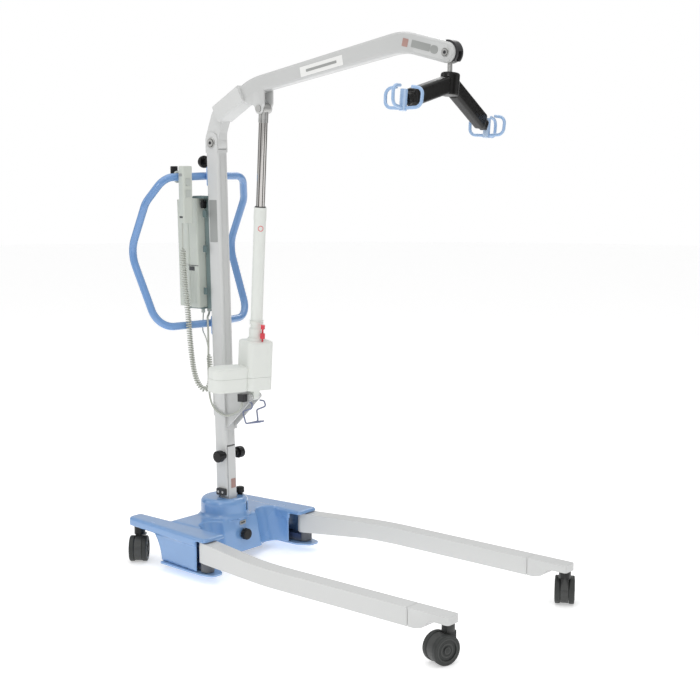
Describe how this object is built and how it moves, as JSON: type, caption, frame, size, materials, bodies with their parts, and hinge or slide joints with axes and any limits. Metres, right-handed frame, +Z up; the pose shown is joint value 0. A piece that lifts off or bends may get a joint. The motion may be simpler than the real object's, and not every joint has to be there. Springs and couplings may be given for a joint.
{
  "type": "patient lift hoist",
  "caption": "mobile patient lift with a hinged boom, electric actuator, tilting spreader bar with sling hooks, push handle and spreading caster legs",
  "frame": {"origin": "centre of the bounding box footprint, on the floor under the caster wheels", "axes": "+X points forward along the legs, +Y to the left side of the hoist, +Z up"},
  "size_m": [1.2458, 0.6454, 1.4868],
  "materials": {
    "cover_blue": "moulded, glossy blue",
    "handle_blue": "powder coated blue",
    "coat_grey": "satin light grey powder coat",
    "steel_dark": "dark blue coat",
    "plated": "zinc plated",
    "chrome": "polished rod",
    "case_white": "off-white moulded case",
    "box_grey": "light grey moulded case",
    "bracket_teal": "dark grey-green",
    "black_plastic": "black moulding",
    "charcoal": "dark moulded arm cover",
    "hook_blue": "pale blue coated hooks",
    "wheel_grey": "dark grey tread and hub",
    "cord_grey": "light grey cord sheath",
    "key_grey": "soft key",
    "release_red": "red pull",
    "wire_grey": "coated wire"
  },
  "bodies": {
    "base": {"base_cover": "cover_blue", "base_chassis": "steel_dark", "base_floor_pans": "cover_blue", "leg_pivot_pins": "plated", "mast_post": "coat_grey"},
    "front_knob": {"base_front_knob": "black_plastic"},
    "lock_button": {"base_lock_button": "black_plastic"},
    "leg_left": {"leg_left": "coat_grey", "leg_tip_left": "coat_grey"},
    "leg_right": {"leg_right": "coat_grey", "leg_tip_right": "coat_grey"},
    "mast": {"mast_tube": "coat_grey", "mast_head": "coat_grey", "boom_pivot_bolt": "plated", "mast_latch": "black_plastic", "latch_screws": "plated", "push_handle": "handle_blue", "control_bracket": "bracket_teal", "control_box": "box_grey", "control_box_base": "box_grey", "handset": "box_grey", "lower_bracket": "coat_grey", "motor_plug": "black_plastic", "wire_hook": "wire_grey", "handset_coil": "cord_grey", "handset_leads": "cord_grey", "motor_cable": "cord_grey"},
    "clamp_knob_left": {"mast_knob_left": "black_plastic"},
    "clamp_knob_right": {"mast_knob_right": "black_plastic"},
    "rear_knob": {"mast_rear_knob": "black_plastic"},
    "battery": {"battery_pack": "box_grey"},
    "key_up": {"handset_key_up": "key_grey"},
    "key_down": {"handset_key_down": "key_grey"},
    "boom": {"boom_neck": "coat_grey", "boom_sleeve": "coat_grey", "boom_tube": "coat_grey", "boom_guard": "black_plastic", "boom_pins": "plated"},
    "rod": {"actuator_rod": "chrome", "actuator_rod_eye": "plated"},
    "housing": {"actuator_tube": "case_white", "actuator_upper_shell": "case_white", "actuator_lower_shell": "case_white", "actuator_motor": "plated"},
    "release": {"release_pull": "release_red"},
    "hanger": {"hanger_link": "plated"},
    "swivel": {"swivel_nut": "plated"},
    "spreader": {"spreader_hub": "charcoal", "spreader_arms": "charcoal", "sling_hooks": "hook_blue"},
    "caster_front_right": {"caster_body_front_right": "wheel_grey"},
    "wheels_front_right": {"caster_wheels_front_right": "wheel_grey"},
    "caster_front_left": {"caster_body_front_left": "wheel_grey"},
    "wheels_front_left": {"caster_wheels_front_left": "wheel_grey"},
    "caster_rear_right": {"caster_body_rear_right": "wheel_grey"},
    "wheels_rear_right": {"caster_wheels_rear_right": "wheel_grey"},
    "brake_rear_right": {"caster_brake_rear_right": "wheel_grey"},
    "caster_rear_left": {"caster_body_rear_left": "wheel_grey"},
    "wheels_rear_left": {"caster_wheels_rear_left": "wheel_grey"},
    "brake_rear_left": {"caster_brake_rear_left": "wheel_grey"}
  },
  "joints": [
    {"name": "leg_left_spread", "type": "hinge", "parent": "base", "child": "leg_left", "pos_m": [-0.27711, 0.20465, 0.086], "axis": [0, 0, 1], "range_deg": [0, 13]},
    {"name": "leg_right_spread", "type": "hinge", "parent": "base", "child": "leg_right", "pos_m": [-0.27711, -0.20435, 0.086], "axis": [0, 0, 1], "range_deg": [-13, 0]},
    {"name": "mast_fold", "type": "hinge", "parent": "base", "child": "mast", "pos_m": [-0.39217, 0.00015, 0.31126], "axis": [0, 1, 0], "range_deg": [0, 85]},
    {"name": "clamp_knob_left_turn", "type": "hinge", "parent": "mast", "child": "clamp_knob_left", "pos_m": [-0.39217, 0.04015, 0.31126], "axis": [0, 1, 0], "continuous": true},
    {"name": "clamp_knob_right_turn", "type": "hinge", "parent": "mast", "child": "clamp_knob_right", "pos_m": [-0.39217, -0.03985, 0.31126], "axis": [0, -1, 0], "continuous": true},
    {"name": "rear_knob_turn", "type": "hinge", "parent": "mast", "child": "rear_knob", "pos_m": [-0.47644, 0.00015, 1.15957], "axis": [-0.9997, 0, -0.0227], "continuous": true},
    {"name": "front_knob_turn", "type": "hinge", "parent": "base", "child": "front_knob", "pos_m": [-0.33511, 0.00615, 0.08], "axis": [1, 0, 0], "continuous": true},
    {"name": "lock_button_press", "type": "slide", "parent": "base", "child": "lock_button", "axis": [0, 0, -1], "range_m": [0, 0.004], "stiffness_N_per_m": 1500},
    {"name": "battery_unplug", "type": "slide", "parent": "mast", "child": "battery", "axis": [-0.9997, 0, -0.0227], "range_m": [0, 0.06]},
    {"name": "key_up_press", "type": "slide", "parent": "mast", "child": "key_up", "axis": [-1, 0, 0], "range_m": [0, 0.0012], "stiffness_N_per_m": 800},
    {"name": "key_down_press", "type": "slide", "parent": "mast", "child": "key_down", "axis": [-1, 0, 0], "range_m": [0, 0.0012], "stiffness_N_per_m": 800},
    {"name": "boom_lift", "type": "hinge", "parent": "mast", "child": "boom", "pos_m": [-0.42764, 0.00015, 1.21299], "axis": [0, -1, 0], "range_deg": [-55, 18.5]},
    {"name": "rod_swing", "type": "hinge", "parent": "boom", "child": "rod", "pos_m": [-0.24014, 0.00015, 1.30599], "axis": [0, -1, 0], "range_deg": [-18.5, 55]},
    {"name": "actuator_stroke", "type": "slide", "parent": "rod", "child": "housing", "axis": [-0.06, 0, -0.9982], "range_m": [-0.191, 0.0645]},
    {"name": "release_lift", "type": "slide", "parent": "housing", "child": "release", "axis": [0.06, 0, 0.9982], "range_m": [0, 0.006], "stiffness_N_per_m": 1500},
    {"name": "hanger_swing", "type": "hinge", "parent": "boom", "child": "hanger", "pos_m": [0.39086, 0.00015, 1.42989], "axis": [0, -1, 0], "range_deg": [-19, 56]},
    {"name": "spreader_turn", "type": "hinge", "parent": "hanger", "child": "swivel", "pos_m": [0.39086, 0.00015, 1.35589], "axis": [0, 0, 1], "continuous": true},
    {"name": "spreader_tilt", "type": "hinge", "parent": "swivel", "child": "spreader", "pos_m": [0.39086, 0.00015, 1.35589], "axis": [0.9903, 0.1392, 0], "range_deg": [-6.2, 21.8]},
    {"name": "caster_front_right_turn", "type": "hinge", "parent": "leg_right", "child": "caster_front_right", "pos_m": [0.59289, -0.26085, 0.08], "axis": [0, 0, 1], "continuous": true},
    {"name": "wheels_front_right_roll", "type": "hinge", "parent": "caster_front_right", "child": "wheels_front_right", "pos_m": [0.58668, -0.27986, 0.0375], "axis": [-0.9507, 0.3102, 0], "continuous": true},
    {"name": "caster_front_left_turn", "type": "hinge", "parent": "leg_left", "child": "caster_front_left", "pos_m": [0.59289, 0.26115, 0.08], "axis": [0, 0, 1], "continuous": true},
    {"name": "wheels_front_left_roll", "type": "hinge", "parent": "caster_front_left", "child": "wheels_front_left", "pos_m": [0.58289, 0.27847, 0.0375], "axis": [0.866, 0.5, 0], "continuous": true},
    {"name": "caster_rear_right_turn", "type": "hinge", "parent": "base", "child": "caster_rear_right", "pos_m": [-0.58511, -0.18185, 0.08], "axis": [0, 0, 1], "continuous": true},
    {"name": "wheels_rear_right_roll", "type": "hinge", "parent": "caster_rear_right", "child": "wheels_rear_right", "pos_m": [-0.57223, -0.19715, 0.0375], "axis": [-0.765, -0.644, 0], "continuous": true},
    {"name": "brake_rear_right_press", "type": "hinge", "parent": "caster_rear_right", "child": "brake_rear_right", "pos_m": [-0.59844, -0.16601, 0.0705], "axis": [-0.765, -0.644, 0], "range_deg": [0, 14]},
    {"name": "caster_rear_left_turn", "type": "hinge", "parent": "base", "child": "caster_rear_left", "pos_m": [-0.58511, 0.18215, 0.08], "axis": [0, 0, 1], "continuous": true},
    {"name": "wheels_rear_left_roll", "type": "hinge", "parent": "caster_rear_left", "child": "wheels_rear_left", "pos_m": [-0.57223, 0.16685, 0.0375], "axis": [-0.765, -0.644, 0], "continuous": true},
    {"name": "brake_rear_left_press", "type": "hinge", "parent": "caster_rear_left", "child": "brake_rear_left", "pos_m": [-0.59844, 0.19799, 0.0705], "axis": [-0.765, -0.644, 0], "range_deg": [0, 14]}
  ],
  "couplings": [
    {"joint": "leg_right_spread", "follows": "leg_left_spread", "ratio": -1},
    {"joint": "rod_swing", "follows": "boom_lift", "ratio": -0.94},
    {"joint": "actuator_stroke", "follows": "boom_lift", "m_per_rad": 0.198},
    {"joint": "hanger_swing", "follows": "boom_lift", "ratio": -1}
  ]
}
